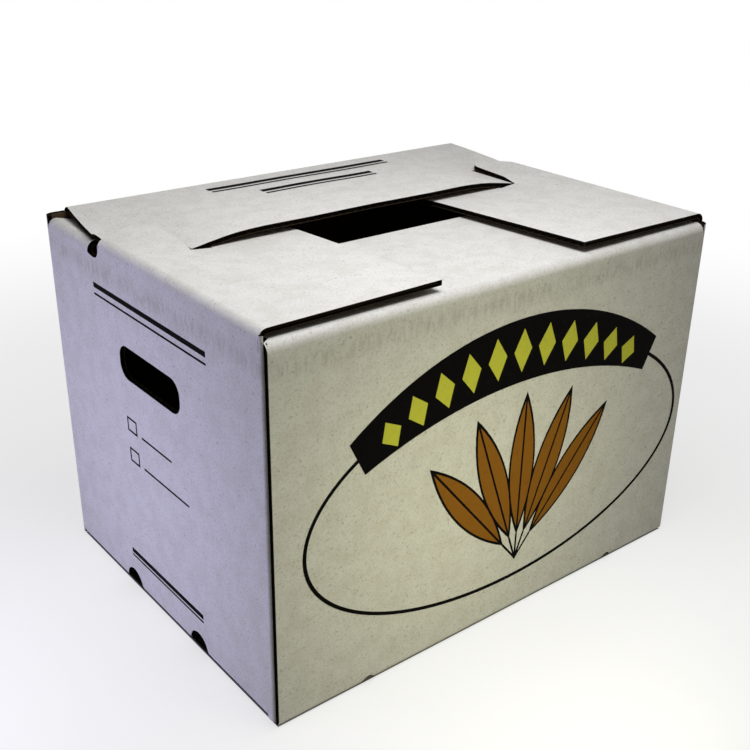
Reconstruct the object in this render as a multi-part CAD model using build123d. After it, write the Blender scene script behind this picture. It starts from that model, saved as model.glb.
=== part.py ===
"""One-bushel corrugated produce carton, closed, with four interlocked top flaps.

The carton is one die-cut blank of single-wall board, folded and glued into a box.
X runs along the length, the printed long panel faces -Y, Z is up.
The origin is the centre of the footprint on the surface the carton stands on.
All sizes are in millimetres.
"""
import math
import os

from build123d import *

# Outside of the walls, and the board
length = 422
width = 314
board = 4
fold_radius = 7

# Crest heights of the top folds, lowest layer first
front_fold_top = 288.5
end_flap_lift = 3
end_fold_top = front_fold_top + board + end_flap_lift
tucked_fold_top = 289.3
back_fold_top = 296
front_corner_top = 288.2
rear_corner_top = 292

# Top flaps
flap_depth = 142
front_flap_drop = 5.5
end_flap_rise = 1.3
end_flap_sag = 6
hook_sag = 5.8
tucked_sag = 10.3

# Slit in each end flap, through which an ear of the back flap is tucked
slit_inset = 49
slit_gap = 1.5
hook_length = 17
lobe_length = 64
lobe_lift = 3.2
lobe_lift_reach = 14
lobe_rise = 5.6
lobe_corner = 18
lobe_crest_share = 0.67
notch_start = 62
notch_width = 18
notch_depth = 13

# Back flap, with the heights of its surface above or below its fold
back_crown = 2.3
back_crown_fall = 0.5
back_shoulder = 0.2
back_shoulder_inset = 32
back_side_dip = 4.8
back_side_rise = 0.6
back_ear_dip = 0.2
back_corner_dip = 6.2
left_hinge_inset = 17
right_hinge_inset = 2
left_ear_inset = 1.5
right_ear_inset = 8
ear_tuck = 9
ear_neck_reach = 22
ear_shoulder_reach = 25
ear_shoulder_inset = 6.5

# Glued corner joint
glue_tab_depth = 38

# Bottom flaps: the long ones have ends pressed thin under the end panels
bottom_seam = 2
bottom_side_gap = 0.5
pressed_edge = 2
pressed_reach = 12
pressed_gap = 0.2
pressed_inset = 3.5
corner_slit = 0.3

# Hand holes in the end panels
hand_hole_length = 89
hand_hole_height = 27
hand_hole_corner = 11.5
hand_hole_centre = 210
hand_hole_shift = 3.5

# Round vents on the bottom creases
vent_radius = 13
end_vent_spacing = 104
end_vent_rise = 5
end_vent_reach = 4
side_vent_spacing = 262
side_vent_turn = 32

# Print on the front panel: an oval line, a black arch with lozenges and a fan of leaves
ink = 0.15
ink_clearance = 0.2
art_shift = 5.7
oval_height = 129
oval_half_width = 193
oval_half_height = 96.5
oval_line = 3
arch_half_span = 155
arch_end_height = 203
arch_top_height = 255
arch_foot_half_span = 142
arch_foot_end_height = 177
arch_foot_height = 205
lozenge_count = 11
lozenge_margin = 30
lozenge_half_width = 9
lozenge_half_height = 17
lozenge_taper = 0.5
leaf_count = 5
leaf_pitch = 20
leaf_fan_shift = 14
leaf_fan_height = 50
leaf_start = 22
leaf_length = 123
leaf_half_width = 13.5
leaf_line = 1.8
leaf_tip = 5.4

# Print on the left end panel and on the back flap
rule_thick = 4
rule_thin = 1.6
end_rule_length = 162
end_rule_shift = 6
end_rule_drop = 23.5
end_rule_pitch = 7
tick_box_width = 15
tick_box_height = 12
tick_box_line = 1.5
tick_box_offset = 30.8
upper_tick_level = 158.3
lower_tick_level = 132
tick_rule_start = -16
tick_rule_drop = 4
upper_tick_rule = 45
lower_tick_rule = 67
foot_rule_length = 113
foot_rule_shift = 4.5
foot_rule_level = 37.5
foot_rule_pitch = 4.5
flap_rule_thick = 6
flap_rule_thin = 2.4
flap_rule_shift = 12.5
flap_rule_pitch = 8
rear_rule_length = 185
rear_rule_inset = 26
front_rule_length = 115
front_rule_inset = 54

# Places that follow from the sizes above
half_length = length / 2
half_width = width / 2
inner_radius = fold_radius - board
fold_x = half_length - fold_radius
fold_y = half_width - fold_radius
tab_fold_y = fold_y - board
slit_x = half_length - slit_inset
hook_x = slit_x - hook_length
free_x = half_length - flap_depth
free_y = half_width - flap_depth
back_shoulder_x = slit_x - back_shoulder_inset
bottom_flap_depth = half_width - bottom_seam / 2
bottom_reach = half_width - 2 * board - bottom_side_gap
slit_end_y = free_y - slit_gap
notch_end = notch_start + notch_width
lobe_end = slit_end_y + lobe_length
wall_top = front_fold_top - fold_radius
end_rule_level = wall_top - end_rule_drop
wall_bottom = board + fold_radius
end_wall_bottom = pressed_edge + fold_radius
over_all = 8 * board


def ruled_sheet(first, second, rise=-board):
    """A sheet below, or above, the surface ruled between two edges."""
    surface = Face.make_surface_from_curves(first, second)
    return Part() + Solid.extrude(surface, Vector(0, 0, rise))


def patch(a, b, c, d):
    """A sheet of board under the surface ruled from line a-b to line c-d."""
    return ruled_sheet(Edge.make_line(a, b), Edge.make_line(c, d))


def block(x_range, y_range, z_range):
    """A box between two places on each axis."""
    ranges = (x_range, y_range, z_range)
    size = [abs(r[1] - r[0]) for r in ranges]
    middle = [(r[0] + r[1]) / 2 for r in ranges]
    return Pos(*middle) * Box(*size)


def long_fold(side, centre_z, turn, half_span):
    """Quarter fold of a long panel: side -1 is the front, turn 1 is the top."""
    tube = Cylinder(fold_radius, 2 * half_span) - Cylinder(inner_radius, 2 * half_span)
    tube = Pos(0, side * fold_y, centre_z) * Rot(0, 90, 0) * tube
    y_range = (side * fold_y, side * half_width)
    return tube & block((-half_span, half_span), y_range, (centre_z, centre_z + turn * fold_radius))


def end_fold(centre_z, turn, y_range):
    """Quarter fold of the right end panel: turn 1 is the top."""
    span = y_range[1] - y_range[0]
    tube = Cylinder(fold_radius, span) - Cylinder(inner_radius, span)
    tube = Pos(fold_x, sum(y_range) / 2, centre_z) * Rot(90, 0, 0) * tube
    return tube & block((fold_x, half_length), y_range, (centre_z, centre_z + turn * fold_radius))


def both_ends(shape):
    """A piece of the right end and its mirror image at the left."""
    return shape + mirror(shape, about=Plane.YZ)


def wall_profile():
    """Section of the walls, with the glue tab behind the front panel at the left."""
    outer = RectangleRounded(length, width, fold_radius)
    inner = RectangleRounded(length - 2 * board, width - 2 * board, inner_radius)
    corner_height = half_width - tab_fold_y
    corner = Pos(-half_length + fold_radius / 2, -half_width + corner_height / 2) * Rectangle(
        fold_radius, corner_height)
    bend = Circle(fold_radius) - Circle(inner_radius)
    bend = bend & Pos(-fold_radius / 2, -fold_radius / 2) * Rectangle(fold_radius, fold_radius)
    tab_middle = -half_width + 1.5 * board
    tab = Pos(-fold_x + glue_tab_depth / 2, tab_middle) * Rectangle(glue_tab_depth, board)
    return (outer - inner - corner) + Pos(-fold_x, -tab_fold_y) * bend + tab


def walls():
    """Four panels with their vertical folds, a little longer at the four corners."""
    profile = wall_profile()
    ring = Pos(0, 0, wall_bottom) * extrude(profile, amount=wall_top - wall_bottom)
    column = Pos(0, 0, board) * extrude(profile, amount=rear_corner_top - board)
    foot_y = bottom_reach + corner_slit
    side_x = fold_x + corner_slit
    side_y = fold_y + corner_slit
    corners = both_ends(block((fold_x, half_length), (foot_y, half_width), (board, wall_bottom)))
    corners += block((fold_x, half_length), (-half_width, -foot_y), (board, wall_bottom))
    corners += block((-half_length, -fold_x), (-half_width, -tab_fold_y - corner_slit), (board, wall_bottom))
    corners += both_ends(block((side_x, half_length), (-half_width, -side_y), (wall_top, front_corner_top)))
    tall_x = half_length - left_hinge_inset + corner_slit
    corners += block((-half_length, -tall_x), (side_y, half_width), (wall_top, rear_corner_top))
    tab_y = board - half_width
    tab_foot = block((-fold_x, glue_tab_depth - fold_x), (tab_y, tab_y + board), (fold_radius, wall_bottom))
    return ring + (column & corners) + tab_foot


def long_bottom_flaps():
    """The two outer flaps with their folds: each end is pressed thin under the end panel's fold."""
    seam = bottom_seam / 2
    flat_x = fold_x - pressed_reach
    section = make_face(Polyline((-fold_x, 0), (fold_x, 0), (fold_x, pressed_edge), (flat_x, board),
                                 (-flat_x, board), (-fold_x, pressed_edge), close=True))
    shape = Part()
    for side in (-1, 1):
        panel_y = (side * (half_width - board), side * half_width)
        shape += block((-fold_x, fold_x), panel_y, (fold_radius, wall_bottom))
        shape += long_fold(side, fold_radius, -1, fold_x)
        start = fold_y if side > 0 else -seam
        shape += Plane((0, start, 0), x_dir=(1, 0, 0), z_dir=(0, -1, 0)) * extrude(section, amount=fold_y - seam)
        tip = block((fold_x, half_length - pressed_inset), (side * seam, side * tab_fold_y),
                    (0, pressed_edge - pressed_gap))
        shape += both_ends(tip)
    return shape


def short_bottom_flap():
    """The right inner flap: it steps up from the end panel's fold onto the long flaps."""
    y_range = (-bottom_reach, bottom_reach)
    flat_x = fold_x - pressed_reach
    step_top = pressed_edge + board
    shape = end_fold(end_wall_bottom, -1, y_range)
    shape += block((half_length - board, half_length), y_range, (end_wall_bottom, wall_bottom))
    shape += patch((flat_x, -bottom_reach, 2 * board), (flat_x, bottom_reach, 2 * board),
                   (fold_x, -bottom_reach, step_top), (fold_x, bottom_reach, step_top))
    shape += block((half_length - bottom_flap_depth, flat_x), y_range, (board, 2 * board))
    for y in (-end_vent_spacing / 2, end_vent_spacing / 2):
        hole = Pos(fold_x + end_vent_reach, y, board) * Cylinder(vent_radius, over_all)
        shape -= hole & block((0, fold_x), (y - vent_radius, y + vent_radius), (-board, wall_bottom))
    return shape


def bottom():
    """Bottom folds, two long outer flaps and two short flaps glued on top of them."""
    near_corner = block((-half_length, -fold_x), (-bottom_reach, -tab_fold_y), (0, wall_bottom))
    return long_bottom_flaps() + (both_ends(short_bottom_flap()) - near_corner)


def front_flap():
    """Lowest top flap: it slopes down a little from its fold to its free edge."""
    fold = long_fold(-1, wall_top, 1, fold_x)
    low = front_fold_top - front_flap_drop
    flap = patch((-fold_x, -fold_y, front_fold_top), (fold_x, -fold_y, front_fold_top),
                 (-fold_x, -free_y, low), (fold_x, -free_y, low))
    return fold + flap


def end_flap():
    """Right end flap, over the front flap: its rear goes under the back flap, its lobe over it."""
    top = end_fold_top
    edge_y = -fold_y
    hook_edge = top + end_flap_rise * (fold_x - hook_x) / (fold_x - free_x)
    hook_top = top - hook_sag
    free_top = top - end_flap_sag
    slit_top = top - hook_sag * (fold_x - slit_x) / (fold_x - hook_x)
    low = tucked_fold_top - tucked_sag
    shape = patch((fold_x, edge_y, top), (hook_x, edge_y, hook_edge),
                  (fold_x, slit_end_y, top), (hook_x, slit_end_y, hook_top))
    shape += patch((hook_x, edge_y, hook_edge), (free_x, edge_y, top + end_flap_rise),
                   (hook_x, slit_end_y, hook_top), (free_x, slit_end_y, free_top))
    shape += patch((hook_x, slit_end_y, hook_top), (free_x, slit_end_y, free_top),
                   (hook_x, fold_y, low), (free_x, fold_y, low))
    corner = patch((slit_x, slit_end_y, low), (hook_x, slit_end_y, hook_top),
                   (slit_x, fold_y, low), (hook_x, fold_y, low))
    corner -= block((hook_x, slit_x), (slit_end_y, free_y), (low - 2 * board, top))
    shape += corner
    shape += patch((fold_x, notch_end, tucked_fold_top), (slit_x, notch_end, low),
                   (fold_x, fold_y, tucked_fold_top), (slit_x, fold_y, low))
    middle_x = (fold_x + slit_x) / 2
    middle_y = notch_start + lobe_crest_share * (lobe_end - notch_start)
    rear = Edge.make_spline([(fold_x, notch_start, top), (middle_x, middle_y, slit_top + lobe_rise),
                             (slit_x, lobe_end, slit_top + lobe_rise)])
    lift_y = slit_end_y + lobe_lift_reach
    root = Edge.make_line((fold_x, slit_end_y, top), (slit_x, slit_end_y, slit_top))
    lifted = Edge.make_line((fold_x, lift_y, top), (slit_x, lift_y, slit_top + lobe_lift))
    lobe = ruled_sheet(root, lifted) + ruled_sheet(lifted, rear)
    plan = make_face(Polyline((fold_x, slit_end_y), (fold_x, lobe_end), (slit_x, lobe_end),
                              (slit_x, slit_end_y), close=True))
    plan = fillet(plan.vertices().sort_by_distance((slit_x, lobe_end, 0))[0], lobe_corner)
    shape += lobe & (Pos(0, 0, low - 2 * board) * extrude(plan, amount=over_all))
    tucked_z = tucked_fold_top - fold_radius
    shape += end_fold(top - fold_radius, 1, (edge_y, notch_start))
    shape += end_fold(tucked_z, 1, (notch_end, fold_y))
    x_range = (half_length - board, half_length)
    shape += block(x_range, (notch_end, fold_y), (wall_top, tucked_z))
    return shape + block(x_range, (edge_y, notch_start), (wall_top, top - fold_radius))


def notch():
    """Round-bottomed notch in the right end panel where the slit starts."""
    middle = (notch_start + notch_end) / 2
    radius = notch_width / 2
    bottom_z = wall_top - notch_depth + radius
    x_range = (fold_x, half_length + board)
    slot = block(x_range, (notch_start, notch_end), (bottom_z, back_fold_top))
    end = Pos(half_length, middle, bottom_z) * Rot(0, 90, 0) * Cylinder(radius, 4 * board)
    return slot + end


def ear(side, hinge_inset, tip_inset):
    """One end of the back flap's outline, from its hinge over the ear in the notch to its neck."""
    ear_y = notch_start + slit_gap
    tuck_y = lobe_end - ear_tuck
    neck_x = slit_x - slit_gap
    points = [(half_length - hinge_inset, fold_y), (half_length - tip_inset, ear_y),
              (slit_x + ear_shoulder_reach, lobe_end - ear_shoulder_inset),
              (slit_x + ear_neck_reach, tuck_y), (neck_x, tuck_y), (neck_x, free_y)]
    return [(side * x, y) for x, y in points]


def back_flap_outline():
    """Plan of the back flap: its two ends differ a little, as the right end bulges."""
    right = ear(1, right_hinge_inset, right_ear_inset)
    left = ear(-1, left_hinge_inset, left_ear_inset)
    return make_face(Polyline(*right, *reversed(left), close=True))


def back_row(y, crown, side, ear):
    """One cross line of the back flap's surface, through heights above its fold."""
    heights = [(half_length, ear), (slit_x, side), (back_shoulder_x, back_shoulder),
               (free_x, crown - back_crown_fall)]
    points = [(-x, y, back_fold_top + h) for x, h in heights]
    points.append((0, y, back_fold_top + crown))
    points += [(x, y, back_fold_top + h) for x, h in reversed(heights)]
    return Edge.make_spline(points)


def back_sheet(rise):
    """The back flap's curved sheet, or the ink on it, before its outline is cut."""
    hinge = Edge.make_line((-half_length, fold_y, back_fold_top), (half_length, fold_y, back_fold_top))
    half_way = back_row(notch_end + board, back_crown / 2, back_side_rise - back_side_dip, -back_ear_dip)
    front = back_row(free_y, back_crown, -back_side_dip, -back_corner_dip)
    return ruled_sheet(hinge, half_way, rise) + ruled_sheet(half_way, front, rise)


def back_flap():
    """Top flap that closes the carton, its ears tucked through the slits of the end flaps."""
    sheet = back_sheet(-board)
    prism = Pos(0, 0, front_fold_top - 2 * board) * extrude(back_flap_outline(), amount=over_all)
    x_range = (left_hinge_inset - half_length, half_length - right_hinge_inset)
    fold_z = back_fold_top - fold_radius
    fold = long_fold(1, fold_z, 1, half_length) & block(x_range, (fold_y, half_width), (fold_z, back_fold_top))
    return (sheet & prism) + fold + block(x_range, (half_width - board, half_width), (wall_top, fold_z))


def end_vents():
    """Round vents in the right end panel, which reach round its bottom fold."""
    shape = Part()
    for y in (-end_vent_spacing / 2, end_vent_spacing / 2):
        shape += Pos(half_length, y, end_vent_rise) * Rot(0, 90, 0) * Cylinder(vent_radius, 2 * fold_radius)
    return shape & block((fold_x, half_length + board), (-half_width, half_width), (pressed_edge, over_all))


def hand_hole():
    """Stadium-like hand hole through an end panel."""
    outline = RectangleRounded(hand_hole_length, hand_hole_height, hand_hole_corner)
    slab = extrude(outline, amount=4 * board)
    place = (half_length - 2 * board, -hand_hole_shift, hand_hole_centre)
    return Plane(place, x_dir=(0, 1, 0), z_dir=(1, 0, 0)) * slab


def side_vents():
    """Round vents in the long bottom flaps, which start part of the way round their folds."""
    turn = math.radians(side_vent_turn)
    arc = (math.pi / 2 - turn) * (fold_radius + inner_radius) / 2
    bore_z = fold_radius - vent_radius * math.cos(turn)
    shape = Part()
    for side in (-1, 1):
        bore_y = side * (fold_y - vent_radius * math.sin(turn))
        hole_y = side * (fold_y - vent_radius + arc)
        for x in (-side_vent_spacing / 2, side_vent_spacing / 2):
            x_range = (x - vent_radius, x + vent_radius)
            bore = Plane((x, bore_y, bore_z), x_dir=(1, 0, 0), z_dir=(0, side * math.cos(turn), -math.sin(turn)))
            bore = bore * Cylinder(vent_radius, over_all)
            shape += bore & block(x_range, (side * fold_y, side * (half_width + board)), (-board, fold_radius))
            hole = Pos(x, hole_y, board) * Cylinder(vent_radius, over_all)
            shape += hole & block(x_range, (0, side * fold_y), (-board, 3 * board))
    return shape


def carton():
    shape = walls() + bottom() + front_flap() + both_ends(end_flap()) + back_flap()
    return shape - both_ends(notch() + hand_hole() + end_vents()) - side_vents()


def on_front(sketch):
    """A field of ink on the front panel: sketch X runs right and sketch Y runs up."""
    return Plane((0, -half_width, 0), x_dir=(1, 0, 0), z_dir=(0, -1, 0)) * extrude(sketch, amount=ink)


def on_left_end(sketch):
    """A field of ink on the left end panel: sketch X runs towards the front panel."""
    return Plane((-half_length, 0, 0), x_dir=(0, -1, 0), z_dir=(-1, 0, 0)) * extrude(sketch, amount=ink)


def arc_band(half_span, end_height, top_height, foot_half_span, foot_end_height, foot_height):
    """The field between two arcs that rise in the middle."""
    left, right = art_shift - half_span, art_shift + half_span
    foot_left, foot_right = art_shift - foot_half_span, art_shift + foot_half_span
    top = ThreePointArc((left, end_height), (art_shift, top_height), (right, end_height))
    foot = ThreePointArc((foot_right, foot_end_height), (art_shift, foot_height),
                         (foot_left, foot_end_height))
    return make_face([top, Line(top @ 1, foot @ 0), foot, Line(foot @ 1, top @ 0)])


def arch():
    return arc_band(arch_half_span, arch_end_height, arch_top_height,
                    arch_foot_half_span, arch_foot_end_height, arch_foot_height)


def lozenges():
    """A row of lozenges along the middle of the arch, smaller towards its ends."""
    rise = arch_top_height - arch_end_height
    middle_height = (arch_top_height + arch_foot_height) / 2
    radius = (arch_half_span ** 2 + rise ** 2) / (2 * rise)
    lozenge_pitch = 2 * (arch_half_span - lozenge_margin) / (lozenge_count - 1)
    shape = Sketch()
    for i in range(lozenge_count):
        turn = (i - (lozenge_count - 1) / 2) * lozenge_pitch / radius
        reach = radius * math.sin(turn)
        height = middle_height - radius * (1 - math.cos(turn))
        half_height = lozenge_half_height * (1 - lozenge_taper * (reach / arch_half_span) ** 2)
        points = [(lozenge_half_width, 0), (0, half_height), (-lozenge_half_width, 0), (0, -half_height)]
        lozenge = make_face(Polyline(*points, close=True))
        shape += Pos(art_shift + reach, height) * Rot(0, 0, -math.degrees(turn)) * lozenge
    return shape


def leaf(half_breadth, start, end):
    """A pointed leaf along sketch Y, between two arcs."""
    middle = (start + end) / 2
    right = ThreePointArc((0, start), (half_breadth, middle), (0, end))
    left = ThreePointArc((0, end), (-half_breadth, middle), (0, start))
    return make_face([right, left])


def leaf_fan():
    """Brown leaves and their black outlines and ribs, spread from one point."""
    end = leaf_start + leaf_length
    whole = leaf(leaf_half_width, leaf_start, end)
    inner = leaf(leaf_half_width - leaf_line, leaf_start + leaf_tip, end - leaf_tip)
    rib = Pos(0, (leaf_start + end) / 2) * Rectangle(leaf_line, leaf_length)
    stem = Pos(0, leaf_start / 2) * Rectangle(leaf_line, leaf_start + leaf_line)
    brown = Sketch()
    black = Sketch()
    for i in range(leaf_count):
        turn = Rot(0, 0, -(i - (leaf_count - 1) / 2) * leaf_pitch)
        brown += turn * (inner - rib)
        black += turn * ((whole - inner) + (rib & whole) + stem)
    place = Pos(leaf_fan_shift, leaf_fan_height)
    return place * (brown - black), place * black


def front_print():
    """The three inks of the front panel."""
    oval = Ellipse(oval_half_width, oval_half_height)
    oval -= Ellipse(oval_half_width - oval_line, oval_half_height - oval_line)
    oval = Pos(art_shift, oval_height) * oval
    brown, black = leaf_fan()
    yellow = lozenges()
    field = arch()
    return (on_front((oval - field) + (field - yellow) + black), on_front(yellow), on_front(brown))


def rule(middle, height, span, thick):
    """A horizontal printed rule."""
    return Pos(middle, height) * Rectangle(span, thick)


def flap_print():
    """Two pairs of rules on the back flap, as curved as the flap."""
    rules = Sketch()
    for span, inset in ((rear_rule_length, rear_rule_inset), (front_rule_length, front_rule_inset)):
        y = half_width - inset
        rules += rule(flap_rule_shift, y, span, flap_rule_thick)
        rules += rule(flap_rule_shift, y - flap_rule_pitch, span, flap_rule_thin)
    prism = Pos(0, 0, front_fold_top) * extrude(rules, amount=over_all)
    return Pos(0, 0, ink_clearance) * (back_sheet(ink) & prism)


def end_print():
    """Rules and two tick boxes on the left end panel."""
    shape = rule(end_rule_shift, end_rule_level, end_rule_length, rule_thick)
    shape += rule(end_rule_shift, end_rule_level - end_rule_pitch, end_rule_length, rule_thin)
    frame = Rectangle(tick_box_width, tick_box_height)
    frame -= Rectangle(tick_box_width - 2 * tick_box_line, tick_box_height - 2 * tick_box_line)
    for level, span in ((upper_tick_level, upper_tick_rule), (lower_tick_level, lower_tick_rule)):
        shape += Pos(-tick_box_offset, level) * frame
        shape += rule(tick_rule_start + span / 2, level - tick_rule_drop, span, rule_thin)
    shape += rule(foot_rule_shift, foot_rule_level, foot_rule_length, rule_thick)
    shape += rule(foot_rule_shift, foot_rule_level - foot_rule_pitch, foot_rule_length, rule_thin)
    return on_left_end(shape)


if __name__ == "__main__":
    os.makedirs("parts", exist_ok=True)
    black, yellow, brown = front_print()
    pieces = {"carton": carton(), "front_print_black": black, "front_print_yellow": yellow,
              "front_print_brown": brown, "end_print": end_print(), "flap_print": flap_print()}
    for name, piece in pieces.items():
        export_step(piece, f"parts/{name}.step")
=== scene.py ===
# %% [markdown]
# # A produce carton of white-faced corrugated board
#
# The real object is one die-cut sheet: two flat papers, called liners, with a wavy paper glued
# between them. It is creased, folded into a box and printed with flat inks. Nearly all of its look
# comes from three things: the paper's skin, the dark slot of its cut edges, and the print. So this
# lesson spends its cells on those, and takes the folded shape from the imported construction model.

# %% The frame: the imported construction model
import math

import bmesh
import bpy
from mathutils import Matrix, Vector


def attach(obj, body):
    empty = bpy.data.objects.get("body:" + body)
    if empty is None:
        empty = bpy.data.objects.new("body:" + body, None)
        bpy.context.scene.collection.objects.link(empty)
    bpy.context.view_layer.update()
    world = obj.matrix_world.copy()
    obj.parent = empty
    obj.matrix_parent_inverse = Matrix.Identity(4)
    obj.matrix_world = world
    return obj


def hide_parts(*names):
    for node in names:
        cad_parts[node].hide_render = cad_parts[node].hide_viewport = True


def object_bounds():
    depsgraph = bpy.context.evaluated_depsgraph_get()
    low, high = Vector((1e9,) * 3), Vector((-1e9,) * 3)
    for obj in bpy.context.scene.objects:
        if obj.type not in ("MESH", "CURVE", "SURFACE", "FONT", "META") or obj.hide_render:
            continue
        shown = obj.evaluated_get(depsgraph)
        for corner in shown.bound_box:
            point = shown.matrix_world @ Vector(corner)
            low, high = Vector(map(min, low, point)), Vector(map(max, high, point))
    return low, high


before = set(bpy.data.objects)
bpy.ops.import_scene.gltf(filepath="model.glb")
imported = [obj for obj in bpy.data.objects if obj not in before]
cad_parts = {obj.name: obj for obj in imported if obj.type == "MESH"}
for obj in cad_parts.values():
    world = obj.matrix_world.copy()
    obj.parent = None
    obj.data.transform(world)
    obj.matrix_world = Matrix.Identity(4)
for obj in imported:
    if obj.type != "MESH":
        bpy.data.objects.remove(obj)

MM = 0.001
cad_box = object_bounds()
low_corner, high_corner = Vector(cad_box[0]), Vector(cad_box[1])
box_size = high_corner - low_corner
print("carton box in mm:", [round(side / MM, 1) for side in box_size])

# %% [markdown]
# ## Colours written as on a screen
#
# Blender's colour sockets hold linear light, while a colour given here is in screen values from
# 0 to 255. A short helper turns one into the other, so that every colour below can be read.


# %% Screen colours
def screen(red, green, blue):
    """A screen colour from 0 to 255, as the linear colour with alpha that Blender keeps."""
    def linear(value):
        part = value / 255
        return part / 12.92 if part <= 0.04045 else ((part + 0.055) / 1.055) ** 2.4
    return (linear(red), linear(green), linear(blue), 1.0)


print("mid grey in linear light:", round(screen(128, 128, 128)[0], 3))

# %% [markdown]
# ## A helper for shader nodes
#
# A material is a small graph. Each node is made, given its settings, and fed either with plain
# values or with the outputs of earlier nodes. One function does that, so that a material below
# reads from top to bottom like a recipe.


# %% Shader nodes
def add_node(tree, kind, inputs=None, **settings):
    """A new node in a material's tree: an input takes a value or another node's output."""
    node = tree.nodes.new("ShaderNode" + kind)
    for name, value in settings.items():
        setattr(node, name, value)
    for name, value in (inputs or {}).items():
        if isinstance(value, bpy.types.NodeSocket):
            tree.links.new(value, node.inputs[name])
        else:
            node.inputs[name].default_value = value
    return node


def new_material(name, roughness, shine=0.5):
    """A material with one Principled shader, and its tree, shader and Object coordinates."""
    material = bpy.data.materials.new(name)
    material.use_nodes = True
    tree = material.node_tree
    shader = tree.nodes["Principled BSDF"]
    shader.inputs["Roughness"].default_value = roughness
    shader.inputs["Specular IOR Level"].default_value = shine
    place = add_node(tree, "TexCoord").outputs["Object"]
    return material, tree, shader, place


print("nodes and materials can be made")

# %% [markdown]
# ## Values that vary over the surface
#
# Paper is uneven in soft, random ways. Noise gives such a value for each place on the object, and
# a ramp picks how much of it counts. Math nodes do the sums between them. An image could do the
# same, but noise stays sharp at any distance and needs no file.


# %% Noise, ramps and sums
def noise(tree, place, scale, detail=3.0, roughness=0.5, stretch=(1, 1, 1)):
    """Soft noise over Object coordinates: scale is in patches per metre."""
    mapping = add_node(tree, "Mapping", {"Vector": place, "Scale": stretch})
    values = {"Vector": mapping.outputs["Vector"], "Scale": scale, "Detail": detail,
              "Roughness": roughness}
    return add_node(tree, "TexNoise", values).outputs["Fac"]


def ramp(tree, value, start, end, low=0.0, high=1.0):
    """Maps start..end smoothly to low..high, and stays there outside."""
    values = {"Value": value, "From Min": start, "From Max": end, "To Min": low, "To Max": high}
    return add_node(tree, "MapRange", values, interpolation_type="SMOOTHSTEP").outputs["Result"]


def maths(tree, operation, first, second=0.0):
    """One sum on two values or sockets."""
    return add_node(tree, "Math", {0: first, 1: second}, operation=operation).outputs["Value"]


print("noise, ramps and sums are ready")

# %% [markdown]
# ## From values to colour and relief
#
# Two more helpers turn such values into looks. One mixes two colours. The Mix node has sockets for
# several kinds of data under the same names, so its colour sockets are called by number. The other
# makes a relief that only bends the light: it is right for paper grain, which is too fine to
# model.

# %% Colour and relief
FACTOR, COLOUR_A, COLOUR_B, COLOUR_RESULT = 0, 6, 7, 2


def mix(tree, factor, first, second):
    """Mixes two colours: each is a colour or another node's output."""
    inputs = {FACTOR: factor, COLOUR_A: first, COLOUR_B: second}
    return add_node(tree, "Mix", inputs, data_type="RGBA").outputs[COLOUR_RESULT]


def bump(tree, shader, height, distance):
    """Feeds a height in 0..1 to the shader's normal, as a relief of that depth in metres."""
    node = add_node(tree, "Bump", {"Height": height, "Distance": distance})
    tree.links.new(node.outputs["Normal"], shader.inputs["Normal"])


print("colours can be mixed and reliefs made")

# %% [markdown]
# ## A copy of the folded sheet that can carry three papers
#
# The construction model's carton is one closed solid with a single finish. The real sheet shows
# three: white paper outside, brown kraft paper inside, and open board at every cut. Painting those
# by position would need dozens of masks. It is simpler to take a working copy of the mesh, merge
# its loose triangles, and give each face a material number.

# %% A working copy of the folded sheet
same_point = 0.001 * MM
sheet = bmesh.new()
sheet.from_mesh(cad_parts["carton"].data)
loose_points = len(sheet.verts)
bmesh.ops.remove_doubles(sheet, verts=sheet.verts, dist=same_point)
print("points merged:", loose_points, "to", len(sheet.verts), "- faces:", len(sheet.faces))

# %% [markdown]
# ## Vents that come round the long creases
#
# On the long sides the vents lie mostly under the carton, and only a small dark crescent of each
# comes up round the crease. A boolean with four short cylinders cuts those crescents. Its exact
# solver needs closed meshes, which is why the sheet was merged first. It works on objects, so the
# sheet and the cylinders become objects for a moment and are taken away again.


# %% A helper for short-lived objects
def temporary(name, mesh_data):
    """An object for one boolean, made from a bmesh."""
    mesh = bpy.data.meshes.new(name)
    mesh_data.to_mesh(mesh)
    mesh_data.free()
    thing = bpy.data.objects.new(name, mesh)
    bpy.context.scene.collection.objects.link(thing)
    return thing


print("short-lived objects can be made")

# %% Crescents of the long vents
vent_across, vent_outside = 131 * MM, 154.5 * MM
crescent_radius, crescent_top, crescent_deep = 5.5 * MM, 6.6 * MM, 7 * MM
round_sides = 48
along_y = Matrix.Rotation(math.radians(90), 4, "X")
cutters = bmesh.new()
for side in (-1, 1):
    for across in (-vent_across, vent_across):
        place = Matrix.Translation((across, side * vent_outside, crescent_top - crescent_radius))
        bmesh.ops.create_cone(cutters, cap_ends=True, segments=round_sides, matrix=place @ along_y,
                              radius1=crescent_radius, radius2=crescent_radius, depth=crescent_deep)
uncut = temporary("uncut", sheet)
cutter = temporary("cutter", cutters)
boolean = uncut.modifiers.new("crescents", "BOOLEAN")
boolean.operation = "DIFFERENCE"
boolean.solver = "EXACT"
boolean.object = cutter
sheet = bmesh.new()
sheet.from_mesh(uncut.evaluated_get(bpy.context.evaluated_depsgraph_get()).data)
for thing in (uncut, cutter):
    bpy.data.objects.remove(thing)
bmesh.ops.remove_doubles(sheet, verts=sheet.verts, dist=same_point)
sheet.faces.index_update()
print("faces with the crescents cut:", len(sheet.faces))

# %% [markdown]
# ## Room for the sheet's own data
#
# Three layers are added before any face is looked at, because a new layer makes older references
# to faces invalid. One holds each point's side of the board, one each face's flute direction, and
# one is the UV map that the materials will read.

# %% Layers of the sheet
side_of = sheet.verts.layers.float.new("side")
axis_of = sheet.faces.layers.int.new("wave_axis")
flute_map = sheet.loops.layers.uv.new("flutes")
print("layers added: side, wave_axis and flutes")

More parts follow.
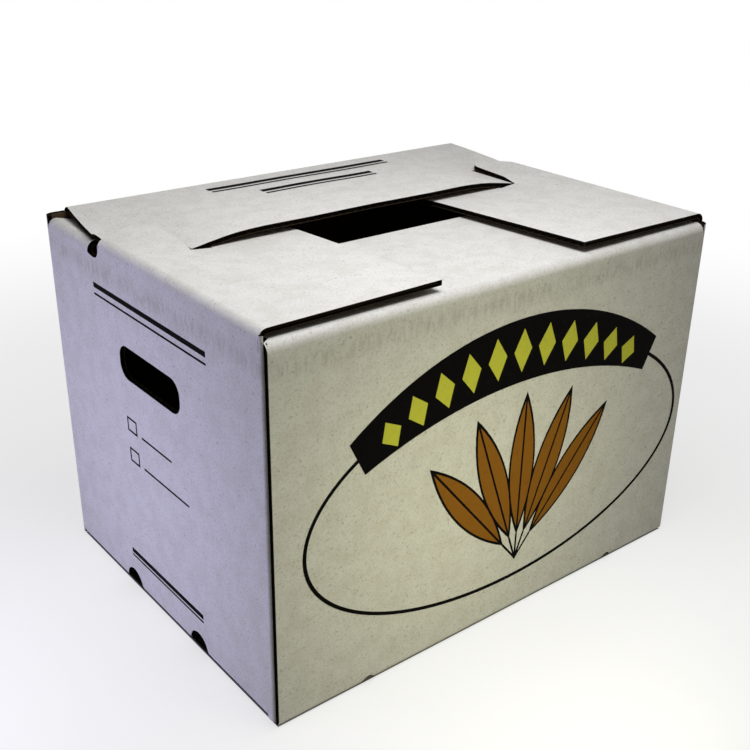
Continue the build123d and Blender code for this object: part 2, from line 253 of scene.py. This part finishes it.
# %% [markdown]
# ## Shallower notches
#
# Seen close, the real notches beside the slits are shallower than in the construction model. A
# notch can be changed by sliding its points up within the flat wall that they lie in, so the panel
# stays flat. The round floor is lifted and flattened under the notch's two upper ends, of which
# the front one is higher. The points are picked by their places in the construction model, and two
# small helpers say where a value lies between two others.

# %% Helpers for places
slack = 0.02 * MM


def between(value, low, high):
    """Whether a value lies from low to high, with a little slack."""
    return low - slack < value < high + slack


def share_of(value, low, high):
    """How far a value is on its way from low to high."""
    return (value - low) / (high - low)


print("slack in mm:", slack / MM)

# %% Notch points lifted
board = 4 * MM
print_room = 0.15 * MM
wall_inside = high_corner.x - board - print_room
notch_front, notch_rear = 62 * MM, 80 * MM
notch_floor, notch_arc_end = 268.5 * MM, 277.5 * MM
lifted_floor = 279.9 * MM
front_side_top, rear_side_top = 288.5 * MM, 282.3 * MM
lip = 0.5 * MM
lifted_points = 0
for vert in sheet.verts:
    if abs(vert.co.x) < wall_inside or not between(vert.co.y, notch_front, notch_rear):
        continue
    along_notch = share_of(vert.co.y, notch_front, notch_rear)
    side_top = front_side_top + along_notch * (rear_side_top - front_side_top)
    if between(vert.co.z, notch_floor, notch_arc_end):
        up = share_of(vert.co.z, notch_floor, notch_arc_end)
        vert.co.z = lifted_floor + up * (side_top - lip - lifted_floor)
        lifted_points += 1
    elif notch_arc_end < vert.co.z < side_top - slack:
        vert.co.z = side_top - lip / 2
        lifted_points += 1
print("notch points lifted:", lifted_points)

# %% [markdown]
# ## A squarer, taller glued corner
#
# At the near left corner the end panel turns behind the front panel. The real bend is tighter than
# the model's, reaches a little higher, and the front panel's raw edge comes right out to it, so
# that only a dark line parts the two walls. So the bend's points slide out to a tighter arc about
# a centre further out, the raw edge's points slide to the left, and the top of the corner rises. A
# new bevel would do it too, but it would have to be joined to both walls again.

# %% Corner points moved
bend_centre = Vector((-204 * MM, -146 * MM))
bend_radius = 7 * MM
square_side = -210.98 * MM
tight_centre = Vector((-209 * MM, -151 * MM))
tight_radius = 2 * MM
bend_foot, bend_head = 3.9 * MM, 292.5 * MM
corner_top, taller_top = 288.2 * MM, 292.4 * MM
column_inside = Vector((-204.3 * MM, -150.3 * MM))
raw_edge_shift, column_shift = 5 * MM, 4 * MM
shift_start, shift_full = -150 * MM, -153 * MM
corner_room = 0.2 * MM
squared_points = 0
for vert in sheet.verts:
    at_corner = vert.co.x < bend_centre.x - corner_room and vert.co.y < shift_start - corner_room
    if at_corner and abs(vert.co.z - corner_top) < slack:
        vert.co.z = taller_top
    from_centre = vert.co.xy - bend_centre
    in_quarter = from_centre.x < 0 and from_centre.y < 0 and bend_foot < vert.co.z < bend_head
    on_arc = abs(from_centre.length - bend_radius) < 2 * slack
    on_raw_edge = abs(vert.co.x - bend_centre.x) < slack and vert.co.y < shift_start
    if on_raw_edge:
        vert.co.x -= raw_edge_shift * min(1, share_of(vert.co.y, shift_start, shift_full))
    elif (vert.co.xy - column_inside).length < slack:
        vert.co.x -= column_shift
    elif on_arc and in_quarter:
        past = min(tight_radius, max(0, tight_centre.y - vert.co.y))
        reach = math.sqrt(tight_radius ** 2 - past ** 2)
        vert.co.x = tight_centre.x - reach if past else square_side
    else:
        continue
    squared_points += 1
sheet.normal_update()
print("corner points moved:", squared_points)

# %% [markdown]
# ## Which faces are skin and which are cut edge?
#
# A folded sheet bends gently, while a cut edge meets the paper at a right angle. So a flood fill
# that never crosses a sharp edge gathers one whole liner at a time. The two largest patches are
# the liners, and all the narrow ones are cut edges. Ray casting would work too, but it is fooled
# where a cut runs close to a corner. First come the helpers that spread and split.


# %% Helpers for patches
def spread(seeds, allowed, may_cross):
    """The faces reached from the seeds inside the allowed set, over the edges that may be crossed."""
    reached = set(seeds)
    waiting = list(seeds)
    while waiting:
        face = waiting.pop()
        for edge in face.edges:
            for other in edge.link_faces:
                if other in allowed and other not in reached and may_cross(face, other):
                    reached.add(other)
                    waiting.append(other)
    return reached


def patches(faces, may_cross):
    """Splits a set of faces into connected patches, in a steady order."""
    left_over = set(faces)
    found = []
    for face in sorted(faces, key=lambda one: one.index):
        if face in left_over:
            patch = spread([face], left_over, may_cross)
            left_over -= patch
            found.append(patch)
    return found


def area_of(faces):
    """The summed area of some faces in square metres."""
    return sum(face.calc_area() for face in faces)


print("square metres of all faces:", round(area_of(sheet.faces), 3))

# %% Smooth patches
sharpest_fold = math.radians(50)


def bends_gently(one, other):
    """Whether two faces meet at less than the sharpest fold."""
    return one.normal.angle(other.normal, 0) < sharpest_fold


smooth_patches = sorted(patches(sheet.faces, bends_gently), key=area_of, reverse=True)
liners, cut_strips = smooth_patches[:2], smooth_patches[2:]
print("liners:", len(liners), "- cut strips:", len(cut_strips))

# %% [markdown]
# ## Which liner is outside?
#
# Both liners are about as large, so size can't tell them apart. Each face of the outer one looks
# away from the middle of the box, so the sum of those looks, weighted by area, decides.

# %% Outer and inner liner
middle = Vector((0, 0, box_size.z / 2))


def outwardness(faces):
    """Above 0 when a skin faces away from the middle of the box."""
    return sum(face.calc_area() * face.normal.dot(face.calc_center_median() - middle)
               for face in faces)


outer_liner, inner_liner = sorted(liners, key=outwardness, reverse=True)
print("square metres outside and inside:", round(area_of(outer_liner), 3),
      round(area_of(inner_liner), 3))

# %% [markdown]
# ## Which way the flutes run
#
# In a carton the waves run up the walls and on into the flaps, so that the walls carry a stack.
# The front and rear walls with their flaps count their waves along X, and the end walls with
# theirs along Y. Each flat panel is found as a patch of the liners, and the bends take after the
# panel that they touch. The count is kept in a UV map: U runs across the waves in metres, and V
# goes from 0 at the white paper to 1 at the brown one.

# %% Which way a face looks
flat_panel = 0.97


def main_axis(face):
    """0, 1 or 2 where a face looks along X, Y or Z, and None in a bend."""
    parts = [abs(part) for part in face.normal]
    largest = max(parts)
    return parts.index(largest) if largest > flat_panel else None


def same_axis(one, other):
    """Whether two faces look along the same axis."""
    return main_axis(one) == main_axis(other)


print("faces in flat panels:", sum(1 for face in sheet.faces if main_axis(face) is not None))

# %% Flute direction of every face
long_flap = 300 * MM
wave_axis = {}
for liner in liners:
    flat = {face for face in liner if main_axis(face) is not None}
    for panel in patches(flat, same_axis):
        axis = main_axis(next(iter(panel)))
        reach = [vert.co.x for face in panel for vert in face.verts]
        lies_long = max(reach) - min(reach) > long_flap
        counts_along = {0: 1, 1: 0, 2: 0 if lies_long else 1}[axis]
        wave_axis.update({face: counts_along for face in panel})
    unsettled = {face for face in liner if face not in wave_axis}
    while unsettled:
        border = {}
        for face in unsettled:
            near = [wave_axis[other] for edge in face.edges for other in edge.link_faces
                    if other in wave_axis]
            if near:
                border[face] = near[0]
        if not border:
            break
        wave_axis.update(border)
        unsettled.difference_update(border)
for strip in cut_strips:
    votes = [wave_axis[other] for face in strip for edge in face.edges for other in edge.link_faces
             if other in wave_axis and other not in strip]
    along = max((0, 1), key=votes.count)
    wave_axis.update({face: along for face in strip})
print("faces whose waves count along X:", sum(1 for axis in wave_axis.values() if axis == 0))

# %% [markdown]
# ## Opening the cut edges
#
# A cut edge of corrugated board isn't flat: two thin papers stand proud and the hollow wave lies
# between them. Inset makes the papers' edges, and a second inset that also goes inwards makes the
# slot. That is real geometry, and the slot is also painted near black as its shade, so the dark
# line at each edge holds from any side. The slots' points that would dip under the floor, at the
# vents, are lifted back to it. Before the insets make new points, every point is told its side of
# the board and every face its material and direction. The strips' faces are also put in order,
# because a Python set hands them out differently each run.

# %% Sides and material numbers
outer_verts = {vert for face in outer_liner for vert in face.verts}
inner_verts = {vert for face in inner_liner for vert in face.verts}
for vert in sheet.verts:
    vert[side_of] = 0.0 if vert in outer_verts else 1.0 if vert in inner_verts else 0.5
WHITE, KRAFT, PAPER_EDGE, SLOT = range(4)
for face in sheet.faces:
    face.material_index = KRAFT if face in inner_liner else WHITE if face in outer_liner else SLOT
for face, axis in wave_axis.items():
    face[axis_of] = axis
ordered_strips = [sorted(strip, key=lambda face: face.index) for strip in cut_strips]
print("points on the outer liner:", len(outer_verts), "- on the inner one:", len(inner_verts))

# %% Slots in the cut edges
paper = 0.45 * MM
slot_side = 0.05 * MM
slot_depth = 1.6 * MM
smallest_strip = 12 * MM ** 2
opened = 0
for strip in ordered_strips:
    if area_of(strip) < smallest_strip:
        continue
    along = strip[0][axis_of]
    ring = bmesh.ops.inset_region(sheet, faces=strip, thickness=paper, depth=0,
                                  use_even_offset=False, use_boundary=True)["faces"]
    walls = bmesh.ops.inset_region(sheet, faces=strip, thickness=slot_side, depth=-slot_depth,
                                   use_even_offset=False, use_boundary=True)["faces"]
    for face in ring:
        face.material_index = PAPER_EDGE
    for face in walls:
        face.material_index = SLOT
    for face in ring + walls:
        face[axis_of] = along
    opened += 1
for vert in sheet.verts:
    vert.co.z = max(vert.co.z, 0)
print("slots opened:", opened, "- faces now:", len(sheet.faces))

# %% [markdown]
# ## Writing the UV map
#
# Every corner of every face gets its place across the waves and its side of the board. All faces
# are also set to smooth shading here, and the sharp edges are marked once the mesh is an object.

# %% UV map of the flutes
for face in sheet.faces:
    for loop in face.loops:
        loop[flute_map].uv = (loop.vert.co[face[axis_of]], loop.vert[side_of])
    face.smooth = True
print("UV corners written:", sum(len(face.loops) for face in sheet.faces))

# %% [markdown]
# ## The wave below the paper
#
# Three of the four papers show the wave, so its height is worked out by one helper. It counts
# along U of the flute map and comes as a number from 0 to 1. A sine of that place is enough, and
# it keeps the pitch in real millimetres.


# %% Wave height
wave_pitch = 7.6 * MM


def wave_height(tree):
    """The height of the wave in 0..1, and the place across the board in 0..1."""
    flutes = add_node(tree, "UVMap", uv_map="flutes").outputs["UV"]
    across = add_node(tree, "SeparateXYZ", {"Vector": flutes})
    turns = maths(tree, "MULTIPLY", across.outputs["X"], 2 * math.pi / wave_pitch)
    return ramp(tree, maths(tree, "SINE", turns), -1.0, 1.0), across.outputs["Y"]


print("wave pitch in mm:", round(wave_pitch / MM, 1))

# %% [markdown]
# ## White paper
#
# The outer liner is bleached paper with a thin clay coat. Close up it is never one flat white: the
# brown core shows through in clouds, the waves below print through as a faint washboard, and
# handling leaves grey scuffs. All of that is small, so every part of the recipe is kept weak, and
# each gets a noise of its own scale, because one noise can't be both cloudy and grainy. Just below
# the top folds the walls are painted a faint grey as shade, streaked in short upright lines.

# %% Material of the outer liner
shade_band_middle = 271 * MM
shade_band_half = 12 * MM


def white_paper():
    """Bleached paper with clouds, grain, specks, and streaked painted shade below the top folds."""
    material, tree, shader, place = new_material("white_board", roughness=0.62)
    clouds = noise(tree, place, scale=70, detail=3)
    grain = noise(tree, place, scale=620, detail=3, roughness=0.7)
    specks = noise(tree, place, scale=430, detail=1, roughness=0.4)
    colour = mix(tree, ramp(tree, clouds, 0.35, 0.7), screen(234, 233, 230), screen(225, 223, 218))
    colour = mix(tree, ramp(tree, grain, 0.45, 0.72, 0.0, 0.48), colour, screen(182, 177, 168))
    colour = mix(tree, ramp(tree, specks, 0.66, 0.76, 0.0, 0.3), colour, screen(112, 104, 94))
    # Painted shade: a faint grey just below the top folds, streaked in short upright lines.
    height_above = add_node(tree, "SeparateXYZ", {"Vector": place}).outputs["Z"]
    off_band = maths(tree, "ABSOLUTE", maths(tree, "SUBTRACT", height_above, shade_band_middle))
    shade_band = ramp(tree, off_band, 0.0, shade_band_half, 1.0, 0.0)
    streaked_shade = noise(tree, place, scale=330, detail=2, stretch=(1, 1, 0.25))
    streaked_shade = maths(tree, "MULTIPLY", shade_band, ramp(tree, streaked_shade, 0.4, 0.65, 0.08, 0.34))
    colour = mix(tree, streaked_shade, colour, screen(150, 146, 134))
    tree.links.new(colour, shader.inputs["Base Color"])
    waves, _ = wave_height(tree)
    height = maths(tree, "MULTIPLY", maths(tree, "ADD", waves, grain), 0.5)
    bump(tree, shader, height, distance=0.05 * MM)
    return material


white_board = white_paper()
print("made", white_board.name)

# %% [markdown]
# ## Brown kraft paper
#
# The inner liner is unbleached and stays in the shade. Its fibres lie mostly one way, which noise
# shows when it is stretched. The wave prints through more strongly than outside.


# %% Material of the inner liner
def kraft_paper():
    """Unbleached paper with long fibres."""
    material, tree, shader, place = new_material("kraft_liner", roughness=0.85, shine=0.2)
    clouds = noise(tree, place, scale=40, detail=4)
    fibres = noise(tree, place, scale=500, detail=2, stretch=(1, 1, 0.15))
    colour = mix(tree, clouds, screen(92, 72, 52), screen(76, 58, 41))
    colour = mix(tree, ramp(tree, fibres, 0.45, 0.8, 0.0, 0.5), colour, screen(58, 44, 30))
    tree.links.new(colour, shader.inputs["Base Color"])
    wave_share = 0.6
    waves, _ = wave_height(tree)
    height = maths(tree, "ADD", maths(tree, "MULTIPLY", waves, wave_share),
                   maths(tree, "MULTIPLY", fibres, 1 - wave_share))
    bump(tree, shader, height, distance=0.08 * MM)
    return material


kraft_liner = kraft_paper()
print("made", kraft_liner.name)

# %% [markdown]
# ## Raw edges and the wave in the slot
#
# A cut through kraft paper is fuzzy and dark. In the slot behind it, the wavy paper is drawn as a
# line that swings from one liner to the other: a face's distance from that line picks the colour.
# Away from that line the slot is painted near black, as the shade in the open flutes.


# %% Materials of the cut edges
def paper_edge():
    """Fuzzy cut paper."""
    material, tree, shader, place = new_material("paper_edge", roughness=0.9, shine=0.1)
    fuzz = noise(tree, place, scale=1500, detail=2)
    colour = mix(tree, fuzz, screen(66, 53, 36), screen(34, 27, 19))
    tree.links.new(colour, shader.inputs["Base Color"])
    bump(tree, shader, fuzz, distance=0.1 * MM)
    return material


def flute_slot():
    """Near-black painted shade with the wavy paper drawn in it: U counts the waves, V crosses the
    board.
    """
    material, tree, shader, place = new_material("flute_slot", roughness=0.95, shine=0.05)
    waves, across = wave_height(tree)
    wave_swing = 0.8
    wave_line = 0.1
    line_at = maths(tree, "ADD", maths(tree, "MULTIPLY", waves, wave_swing), (1 - wave_swing) / 2)
    off_line = maths(tree, "ABSOLUTE", maths(tree, "SUBTRACT", across, line_at))
    on_line = ramp(tree, off_line, wave_line, wave_line * 1.6, 1.0, 0.0)
    fuzz = noise(tree, place, scale=1200, detail=2)
    wave_colour = mix(tree, fuzz, screen(52, 41, 27), screen(32, 25, 17))
    # Off the wave line the slot is painted near black, as the shade deep in the open flutes.
    colour = mix(tree, on_line, screen(9, 7, 6), wave_colour)
    tree.links.new(colour, shader.inputs["Base Color"])
    bump(tree, shader, on_line, distance=0.4 * MM)
    return material


raw_edge, shade_painted_slot = paper_edge(), flute_slot()
print("made", raw_edge.name, "and", shade_painted_slot.name)

# %% [markdown]
# ## The carton as a piece
#
# The sheet becomes an object with its papers in the order of the material numbers. It rides on the
# part's one body and stands in for the plain carton. The normals are then weighted by face area,
# so that the large flat panels stay flat right up to their bends, and the cut edges stay sharp.


# %% The carton piece
def make_piece(name, mesh_data, materials, replaces=None):
    """Turns a bmesh into an object of the part that rides on its one body."""
    mesh = bpy.data.meshes.new(name)
    mesh_data.to_mesh(mesh)
    mesh_data.free()
    for material in materials:
        mesh.materials.append(material)
    piece = bpy.data.objects.new(name, mesh)
    bpy.context.scene.collection.objects.link(piece)
    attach(piece, "root")
    if replaces:
        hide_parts(replaces)
    print(name, "has", len(mesh.polygons), "faces")
    return piece


papers = [white_board, kraft_liner, raw_edge, shade_painted_slot]
carton_piece = make_piece("carton_board", sheet, papers, "carton")

# %% Normals of the carton
carton_piece.data.set_sharp_from_angle(angle=sharpest_fold)
weighted = carton_piece.modifiers.new("flat_panels", "WEIGHTED_NORMAL")
weighted.keep_sharp = True
weighted.weight = 100
print("normals weighted on", carton_piece.name)

# %% [markdown]
# ## Ink
#
# Box ink is pressed on by a rubber plate. It lies matt, a little thin where the wave below gives
# way, and the paper's grain breaks it up. The printed fields are thin films in the construction
# model already, so they only need materials, and one function makes all three inks.


# %% Inks on the printed films
def ink(name, colour, thin_colour):
    """A matt ink that is thinner in patches."""
    material, tree, shader, place = new_material(name, roughness=0.8, shine=0.03)
    mottle = noise(tree, place, scale=160, detail=5, roughness=0.7)
    inked = mix(tree, ramp(tree, mottle, 0.5, 0.8), colour, thin_colour)
    tree.links.new(inked, shader.inputs["Base Color"])
    bump(tree, shader, noise(tree, place, scale=900, detail=2), distance=0.03 * MM)
    return material


inks = {
    "black_ink": ink("black_ink", screen(7, 6, 6), screen(22, 20, 20)),
    "yellow_ink": ink("yellow_ink", screen(215, 216, 80), screen(198, 196, 82)),
    "brown_ink": ink("brown_ink", screen(152, 101, 35), screen(136, 88, 31)),
}
ink_of = {"front_print_black": "black_ink", "front_print_yellow": "yellow_ink",
          "front_print_brown": "brown_ink", "end_print": "black_ink", "flap_print": "black_ink"}
for node_name, ink_name in ink_of.items():
    for material_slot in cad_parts[node_name].material_slots:
        material_slot.material = inks[ink_name]
print("printed films inked:", len(ink_of))

# %% [markdown]
# ## Floor and backdrop
#
# The object stands on a plain pale floor that fades into pure white, so that only its own shadow
# shows. It lies a hair lower than the carton's underside, so that the two never share a plane. The
# fade is a round gradient about the object, in the floor's own coordinates. The floor's own paint
# is a middle grey, which keeps the light that it throws back on the walls low, and a little white
# glow for the camera alone lifts it to the pale tone that is seen. Under the carton there is no
# glow, so that the vents and the line of contact stay dark.


# %% Rays that the camera follows
def seen_by_camera(tree):
    """1 for rays that come from the camera, directly or by way of gloss or glass, and else 0."""
    rays = add_node(tree, "LightPath").outputs
    indirect = maths(tree, "MAXIMUM", rays["Is Glossy Ray"], rays["Is Transmission Ray"])
    return maths(tree, "MAXIMUM", rays["Is Camera Ray"], indirect)


print("camera rays can be told apart")

# %% Floor
floor_half = 6.0
floor_drop = 0.1 * MM
floor_data = bmesh.new()
bmesh.ops.create_grid(floor_data, x_segments=1, y_segments=1, size=floor_half)
floor_mesh = bpy.data.meshes.new("floor")
floor_data.to_mesh(floor_mesh)
floor_data.free()
floor = bpy.data.objects.new("floor", floor_mesh)
bpy.context.scene.collection.objects.link(floor)
floor.location.z = -floor_drop
print("floor is", 2 * floor_half, "m wide")

# %% Floor material
fade_start, fade_end = 0.35, 1.1
glow = 0.68
contact_inset = 2.5 * MM
contact_half_length = high_corner.x - contact_inset
contact_half_width = high_corner.y - contact_inset
floor_material, tree, shader, place = new_material("pale_floor", roughness=0.9)
shader.inputs["Base Color"].default_value = screen(160, 160, 160)
distance = add_node(tree, "VectorMath", {0: place}, operation="LENGTH").outputs["Value"]
seen = seen_by_camera(tree)
fade = maths(tree, "MULTIPLY", ramp(tree, distance, fade_start, fade_end), seen)
white = add_node(tree, "Emission", {"Color": (1, 1, 1, 1), "Strength": 1.0}).outputs["Emission"]
across = add_node(tree, "SeparateXYZ", {"Vector": place}).outputs
under_long = maths(tree, "LESS_THAN", maths(tree, "ABSOLUTE", across["X"]), contact_half_length)
under_wide = maths(tree, "LESS_THAN", maths(tree, "ABSOLUTE", across["Y"]), contact_half_width)
in_open = maths(tree, "SUBTRACT", 1.0, maths(tree, "MULTIPLY", under_long, under_wide))
lift = maths(tree, "MULTIPLY", seen, maths(tree, "MULTIPLY", in_open, glow))
faint = add_node(tree, "Emission", {"Strength": lift}).outputs["Emission"]
lifted = add_node(tree, "AddShader", {0: shader.outputs["BSDF"], 1: faint}).outputs["Shader"]
blend = add_node(tree, "MixShader", {0: fade, 1: lifted, 2: white})
tree.links.new(blend.outputs["Shader"], tree.nodes["Material Output"].inputs["Surface"])
floor_mesh.materials.append(floor_material)
print("floor is white beyond", fade_end, "m")

# %% [markdown]
# ## Light
#
# A soft lamp above the front edge makes the top the brightest face. Two weaker ones fill the
# walls: cool from the left and warm on the front, as in the picture. Their level is set so that a
# colour on the top renders about as it is written. A weak even light keeps the far sides readable.


# %% World and lamps
def world_light(colour, strength):
    """Even light for the object, and plain white where the camera looks past the floor."""
    world = bpy.data.worlds.new("studio")
    bpy.context.scene.world = world
    world.use_nodes = True
    tree = world.node_tree
    tree.nodes.clear()
    even = add_node(tree, "Background", {"Color": colour, "Strength": strength})
    white = add_node(tree, "Background", {"Color": (1, 1, 1, 1), "Strength": 1.0})
    blend = add_node(tree, "MixShader", {0: seen_by_camera(tree), 1: even.outputs["Background"],
                                         2: white.outputs["Background"]})
    output = add_node(tree, "OutputWorld")
    tree.links.new(blend.outputs["Shader"], output.inputs["Surface"])


def soft_lamp(name, place, target, size, power, colour):
    """A square area lamp that looks at a point."""
    lamp = bpy.data.lights.new(name, "AREA")
    lamp.shape = "SQUARE"
    lamp.size = size
    lamp.energy = power
    lamp.color = colour
    lamp_object = bpy.data.objects.new(name, lamp)
    lamp_object.location = place
    lamp_object.rotation_euler = (Vector(target) - Vector(place)).to_track_quat("-Z", "Y").to_euler()
    lamp_object.visible_camera = False
    bpy.context.scene.collection.objects.link(lamp_object)
    print(name, "gives", power, "W over", size, "m")


print("light helpers are ready")

# %% The lamps
world_light(colour=(1, 1, 1, 1), strength=0.105)
soft_lamp("top_lamp", place=(-0.05, -0.155, 0.74), target=(-0.03, -0.15, 0.29),
          size=0.34, power=2.3, colour=(1, 1, 1))
soft_lamp("left_fill", place=(-0.56, 0.05, 0.13), target=(-0.21, 0.05, 0.13),
          size=0.25, power=0.8, colour=(0.66, 0.63, 1.0))
soft_lamp("front_fill", place=(-0.05, -0.39, 0.14), target=(-0.05, -0.157, 0.14),
          size=0.16, power=0.29, colour=(1.0, 0.98, 0.6))

# %% [markdown]
# ## Camera
#
# The picture's camera was found by matching the carton's straight edges: where it stands, its
# turn, its tilt and its roll, and the distance from lens to image measured in pixels. The same
# numbers in Blender's terms are a lens length for a 36 mm sensor and a small shift.

# %% Camera
image_side = 750
focal_pixels = 1067.0
centre_across, centre_down = 386.9, 389.9
turn, tilt, roll = math.radians(-39.36), math.radians(25.43), math.radians(1.19)
camera_place = Vector((-513.2, -637.2, 529.5)) * MM

camera = bpy.data.cameras.new("photo_view")
camera.sensor_width = 36
camera.lens = focal_pixels / image_side * camera.sensor_width
camera.shift_x = (image_side / 2 - centre_across) / image_side
camera.shift_y = (centre_down - image_side / 2) / image_side
camera.clip_end = 50
camera_object = bpy.data.objects.new("photo_view", camera)
turned = (Matrix.Rotation(turn, 4, "Z") @ Matrix.Rotation(math.pi / 2 - tilt, 4, "X")
          @ Matrix.Rotation(roll, 4, "Z"))
camera_object.matrix_world = Matrix.Translation(camera_place) @ turned
bpy.context.scene.collection.objects.link(camera_object)
bpy.context.scene.camera = camera_object
bpy.context.scene.view_settings.view_transform = "Standard"
print("lens", round(camera.lens, 2), "mm, shift", round(camera.shift_x, 4), round(camera.shift_y, 4))
